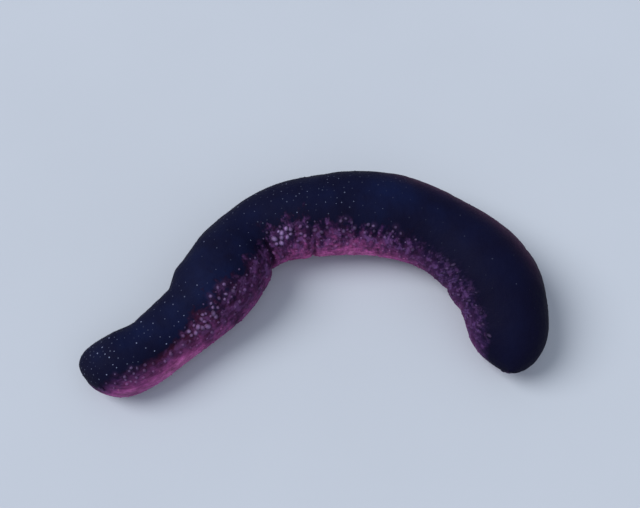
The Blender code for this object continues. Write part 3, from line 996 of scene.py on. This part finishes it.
def makeWarts():
    draw = random.Random(wartSettings["seed"] + 1)
    change = wartSettings["hind"]
    low, more = wartSettings["height"]
    spots = []
    for wart in warts:
        hind = float(ease(*wartSettings["hindStations"], wart["station"]))
        turn = draw.uniform(-wartSettings["turn"], wartSettings["turn"])
        turn = turn * (1 - change["play"] * hind) - change["turn"] * hind
        tilt = draw.uniform(-wartSettings["tilt"], wartSettings["tilt"]) * (1 - hind)
        tall = wart["radius"] * (low + more * wart["big"]) * (1 - change["height"] * hind)
        spots.append(spotOnSkin(wart["station"], wart["angle"], wart["radius"],
                                tall + spotSettings["sink"], wart["stretch"], wart["bright"],
                                turn, tilt))
    return copyOnSkin("flankWarts", takeModel(modelDome("wart", 9, 4)), spots)


def evenGap(settings):  # the same gap everywhere
    return lambda station, angle, places: np.full_like(station, settings["gap"])


def makeBelly():
    first, last = bellySettings["stations"]
    low, high = bellySettings["angles"]

    def onBelly(station, angle):
        turn = fromSole(angle)
        clear = (turn > low) & (turn < high) & (station > first) & (station < last)
        return (roseAt(station, angle) > bellySettings["edge"]) & clear

    draw = random.Random(bellySettings["seed"])
    stations, angles = throwSpots(draw, bellySettings["tries"], evenGap(bellySettings), onBelly)
    spots = []
    for station, angle in zip(stations, angles):
        radius = draw.uniform(*bellySettings["radius"])
        bright = draw.uniform(*bellySettings["bright"])
        spots.append(roundSpot(bellySettings, station, angle, radius, bright))
    return copyOnSkin("bellyPapillae", takeModel(modelDome("papilla", 7, 2)), spots)


def dress(piece, material):
    piece.data.materials.append(material)
    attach(piece, "root")
    print("  ", piece.name, "faces", len(piece.data.polygons))


dress(makeDots(), fleshFinish("paleDots", rgb(166, 176, 214)))
dress(makeWarts(), fleshFinish("lilacWarts", rgb(188, 156, 216)))
dress(makeBelly(), fleshFinish("rosePapillae", rgb(222, 150, 190)))

print("3 tube feet")
footSettings = {
    "seed": 41,
    "tries": 6000,
    "gap": 2.6,
    "radius": (0.42, 0.6),
    "stations": (16, 232),
    "angles": (-50, 230),  # the edges of the sole
    "sink": 0.25,
    "lean": 0.35,  # how far a foot leans outwards with the skin
    "clearance": (0.03, 0.3),  # from the floor, and more for a leaning foot, of its radius
    "shortest": 0.4,
    "bright": 0.75,
    # shape of a foot that is 1 long: the shaft, the sucker above it and the cup in that
    "shaft": (0.8, 0.55),  # radius, length
    "sucker": ((0.33, 1.35), (0.12, 0.94)),  # rise and growth of its two rings
    "cup": (0.28, -0.14),  # inset, depth
}


def modelFoot():  # one tube foot, root at 0 and sucker at 1
    radius, length = footSettings["shaft"]
    deselectAll()
    bpy.ops.mesh.primitive_cylinder_add(vertices=8, radius=radius, depth=length,
                                        location=(0, 0, length / 2))
    foot = bpy.context.object
    bpy.ops.object.mode_set(mode="EDIT")
    bpy.ops.mesh.select_mode(type="FACE")
    bpy.ops.mesh.select_all(action="DESELECT")
    bpy.ops.object.mode_set(mode="OBJECT")
    for face in foot.data.polygons:
        face.select = face.normal.z > 0.9
    bpy.ops.object.mode_set(mode="EDIT")
    for rise, growth in footSettings["sucker"]:
        bpy.ops.mesh.extrude_region_move(TRANSFORM_OT_translate={"value": (0, 0, rise)})
        bpy.ops.transform.resize(value=(growth, growth, 1))
    inset, depth = footSettings["cup"]
    bpy.ops.mesh.inset(thickness=inset, depth=0)
    bpy.ops.transform.translate(value=(0, 0, depth))
    bpy.ops.object.mode_set(mode="OBJECT")
    return foot


def makeFeet():
    first, last = footSettings["stations"]
    low, high = footSettings["angles"]
    clear, more = footSettings["clearance"]

    def onSole(station, angle):
        turn = fromSole(angle)
        return ((turn < low) | (turn > high)) & (station > first) & (station < last)

    draw = random.Random(footSettings["seed"])
    stations, angles = throwSpots(draw, footSettings["tries"], evenGap(footSettings), onSole)
    spots = []
    for station, angle in zip(stations, angles):
        radius = draw.uniform(*footSettings["radius"])
        out, forward, place, _, _, _, _, patch = spotOnSkin(station, angle, radius, 1,
                                                            sink=footSettings["sink"])
        lean = Vector((out.x, out.y, 0)) * footSettings["lean"]
        way = (Vector((0, 0, -1)) + lean).normalized()
        tall = (place.z - clear - more * radius * way.xy.length) / -way.z
        if tall > footSettings["shortest"]:
            spots.append((way, forward, place, radius, tall, 1, footSettings["bright"], patch))
    return copyOnSkin("tubeFeet", takeModel(modelFoot()), spots)


dress(makeFeet(), fleshFinish("footFlesh", rgb(226, 176, 190), 0.45))

print("4 mouth and vent")
mouthSettings = {"station": 3.0, "sink": 1.25, "ringRadius": 2.9, "tube": 1.05, "folds": 20,
                 "foldDepth": 0.34, "pit": (3.1, 2.8)}
ventSettings = {"station": 1.7, "sink": 0.95, "ringRadius": 1.72, "tube": 0.92, "folds": 5,
                "foldDepth": 0.3, "pit": (2.2, 2.8)}
lipSettings = {
    "segments": (160, 20),
    "inside": (0.8, 0.7),  # where the inner side starts and is whole, in tubes out and in
    "top": (-0.6, 0.4),
    "jitter": (3, 1.1, 3, 1.3),  # spread, size and shift of the folds' wander, and its strength
    "outerDepth": 0.3,  # of the folds outside, of their depth inside
    "splay": 0.09,
    "bumps": (0.05, 0.7, 4),  # height, size and shift
    "tip": 0.5,
}
tentacleSettings = {
    "seed": 53,
    "rings": ((12, 1.32), (7, 0.66), (1, 0.0)),  # tentacles and distance from the middle
    "turn": 0.1,
    "floor": -0.9,
    "uneven": 0.25,
    "stalk": (0.26, 1.1, -0.9),  # radius, half height, middle
    "knobs": 7,  # one in the middle of each head and the others round it
    "knob": (0.17, 0.24, 0.1),  # radius, distance from the middle, rise of the middle one
    "tip": 0.9,
}


def endFrame(end, fromTip, sink):  # a frame on a rounded end: its place, way out and two sides
    tip = 0.0 if end == "head" else float(bodyShape["length"])
    station = fromTip if end == "head" else tip - fromTip
    cap = bodyShape["headCap"] if end == "head" else bodyShape["tailCap"]
    tall = girthAt(np.array(tip))[1]
    heading = float(lineAt(np.array(tip))[2])
    ahead = Vector((math.cos(heading), math.sin(heading), 0)) * (1 if end == "head" else -1)
    outward = 1 - fromTip / cap
    share = math.sqrt(1 - outward * outward)
    out = -ahead * outward / cap - Vector((0, 0, share / float(tall)))
    out.normalize()
    side = out.cross(Vector((0, 0, 1))).normalized()
    return Vector(bodyPlace(station, 270.0)) - out * sink, out, side, side.cross(out)


def sinkPit(frameThere, radius, depth, rim=0.55, reach=4):
    # presses the skin in under a ring of lips, with its wall from the rim's share outwards
    place, out, _, _ = frameThere
    points = getPoints(skin)
    away = points - np.array(place)
    rise = away @ np.array(out)
    off = np.linalg.norm(away - rise[:, None] * np.array(out), axis=1)
    near = (np.abs(rise) < reach) & (off < radius)
    push = depth * (1 - ease(rim * radius, radius, off)) * near
    points -= push[:, None] * np.array(out)
    setPoints(skin, points)


def makeLips(name, settings, frameThere):
    place, out, side, up = frameThere
    ring, tube = settings["ringRadius"], settings["tube"]
    around, across = lipSettings["segments"]
    deselectAll()
    bpy.ops.mesh.primitive_torus_add(major_radius=ring, minor_radius=tube, location=(0, 0, 0),
                                     major_segments=around, minor_segments=across)
    lips = bpy.context.object
    lips.name = lips.data.name = name
    points = np.array([vert.co for vert in lips.data.vertices])
    turn = np.arctan2(points[:, 1], points[:, 0])
    off = np.hypot(points[:, 0], points[:, 1])
    start, full = lipSettings["inside"]
    inside = ease(ring + start * tube, ring - full * tube, off)
    spread, size, shift, strength = lipSettings["jitter"]
    jitter = wobble(np.stack([np.cos(turn) * spread, np.sin(turn) * spread, off], -1), size, shift)
    groove = (0.5 + 0.5 * np.cos(settings["folds"] * turn + strength * jitter)) ** 3
    top = ease(*lipSettings["top"], points[:, 2])
    outer = lipSettings["outerDepth"]
    points[:, 2] -= settings["foldDepth"] * groove * (outer + (1 - outer) * inside) * top
    points[:, :2] *= (1 + lipSettings["splay"] * groove * inside)[:, None]
    height, *grain = lipSettings["bumps"]
    points += height * wobble(points, *grain)[:, None]
    points = np.array(place) + points @ np.array([side, up, out])
    setPoints(lips, points)
    deselectAll()
    lips.select_set(True)
    bpy.context.view_layer.objects.active = lips
    bpy.ops.object.mode_set(mode="EDIT")
    bpy.ops.mesh.select_all(action="SELECT")
    bpy.ops.mesh.normals_make_consistent(inside=False)
    bpy.ops.object.mode_set(mode="OBJECT")
    bpy.ops.object.shade_smooth()
    giveAttribute(lips, "tip", lipSettings["tip"] * (1 - groove) * top * inside)
    # painted shade in the grooves between the lips
    giveAttribute(lips, "paintedFoldShade", groove * inside * top)
    paint(lips)
    return lips


def makeTentacles(frameThere):
    place, out, side, up = frameThere
    deselectAll()
    bpy.ops.mesh.primitive_ico_sphere_add(subdivisions=1, radius=1, location=(0, 0, 0))
    ball, faces = takeModel(bpy.context.object)
    draw = random.Random(tentacleSettings["seed"])
    stalkRadius, stalkHalf, stalkMiddle = tentacleSettings["stalk"]
    knobRadius, knobReach, knobRise = tentacleSettings["knob"]
    corners, allFaces, tips = [], [], []

    def addBall(centre, radius, tall, tip):
        base = len(corners)
        for x, y, z in ball:
            corners.append(centre + Vector((x * radius, y * radius, z * tall)))
            tips.append(tip * (0.5 + 0.5 * z))
        allFaces.extend(tuple(base + i for i in face) for face in faces)

    for count, off in tentacleSettings["rings"]:
        for number in range(count):
            play = draw.uniform(-tentacleSettings["turn"], tentacleSettings["turn"])
            turn = math.tau * number / count + play
            floor = tentacleSettings["floor"] + draw.uniform(0, tentacleSettings["uneven"])
            top = Vector((off * math.cos(turn), off * math.sin(turn), floor))
            addBall(top + Vector((0, 0, stalkMiddle)), stalkRadius, stalkHalf, 0)
            spots = [Vector((0, 0, knobRise))]
            for knob in range(1, tentacleSettings["knobs"]):
                way = math.tau * knob / (tentacleSettings["knobs"] - 1)
                spots.append(Vector((math.cos(way), math.sin(way), 0)) * knobReach)
            for spot in spots:
                addBall(top + spot, knobRadius, knobRadius, tentacleSettings["tip"])
    turned = [place + side * corner.x + up * corner.y + out * corner.z for corner in corners]
    return addPiece("mouthTentacles", turned, allFaces, tips)


mouthFrame = endFrame("head", mouthSettings["station"], mouthSettings["sink"])
ventFrame = endFrame("tail", ventSettings["station"], ventSettings["sink"])
sinkPit(mouthFrame, *mouthSettings["pit"])  # radius, depth
sinkPit(ventFrame, *ventSettings["pit"])
mouth = makeLips("mouthLips", mouthSettings, mouthFrame)
dress(mouth, fleshFinish("mouthFlesh", rgb(190, 120, 150), 0.45))
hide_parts("mouth_collar")
tentacles = makeTentacles(mouthFrame)
dress(tentacles, fleshFinish("tentacleFlesh", rgb(176, 160, 140), 0.5))
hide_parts("oral_tentacles")
vent = makeLips("ventLips", ventSettings, ventFrame)
dress(vent, fleshFinish("ventFlesh", rgb(52, 38, 66), 0.5))
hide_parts("vent_collar")

print("5 floor, light and camera")
stageSettings = {
    "floorRadius": 3.0,
    "floorColour": rgb(196, 204, 216),
    "darker": 0.93,  # the soft clouds in the paint
    "clouds": (9, 9, 9),
    "key": {"toward": (-0.66, 0.06, 0.75), "softness": 38, "power": 2.3,
            "colour": (1, 0.99, 0.97)},
    "fill": {"toward": (0.45, -0.6, 0.66), "softness": 80, "power": 0.5,
             "colour": (0.9, 0.94, 1)},
    "sky": (0.84, 0.89, 1.0, 1),
    "skyStrength": 0.42,
}
cameraSettings = {
    "aim": (0.00185, 0.01821, 0.0),
    "elevation": 62,
    "distance": 0.41,
    "lens": 55,
    "sensor": 36,
    "nearest": 0.01,
}


def makeFloor():
    deselectAll()
    bpy.ops.mesh.primitive_circle_add(vertices=96, radius=stageSettings["floorRadius"],
                                      fill_type="NGON", location=(0, 0, 0))
    floor = bpy.context.object
    floor.name = "studioFloor"
    material, tree, shader = newMaterial("floorPaint", 0.8, 0.2)
    coordinates = addNode(tree, "ShaderNodeTexCoord").outputs["Object"]
    clouds = noiseAt(tree, coordinates, stageSettings["clouds"], 3, 0.5)
    pale = stageSettings["floorColour"]
    darker = tuple(part * stageSettings["darker"] for part in pale[:3]) + (1,)
    feed(tree, mixColours(tree, clouds, pale, darker), shader.inputs["Base Color"])
    floor.data.materials.append(material)


def makeLight(name, settings):
    light = bpy.data.lights.new(name, "SUN")
    light.angle = math.radians(settings["softness"])
    light.energy = settings["power"]
    light.color = settings["colour"]
    lamp = bpy.data.objects.new(name, light)
    lamp.location = settings["toward"]
    lamp.rotation_euler = (-Vector(settings["toward"])).to_track_quat("-Z", "Y").to_euler()
    bpy.context.scene.collection.objects.link(lamp)


def makeCamera():
    camera = bpy.data.objects.new("camera", bpy.data.cameras.new("camera"))
    camera.data.lens = cameraSettings["lens"]
    camera.data.sensor_width = cameraSettings["sensor"]
    camera.data.clip_start = cameraSettings["nearest"]
    tilt = math.radians(cameraSettings["elevation"])
    away = Vector((0, -math.cos(tilt), math.sin(tilt))) * cameraSettings["distance"]
    camera.location = Vector(cameraSettings["aim"]) + away
    camera.rotation_euler = (math.pi / 2 - tilt, 0, 0)
    bpy.context.scene.collection.objects.link(camera)
    bpy.context.scene.camera = camera


makeFloor()
makeLight("keyLight", stageSettings["key"])
makeLight("fillLight", stageSettings["fill"])
makeCamera()
world = bpy.data.worlds.new("studioSky")
world.use_nodes = True
sky = world.node_tree.nodes["Background"]
sky.inputs["Color"].default_value = stageSettings["sky"]
sky.inputs["Strength"].default_value = stageSettings["skyStrength"]
bpy.context.scene.world = world
bpy.context.scene.view_settings.view_transform = "Standard"
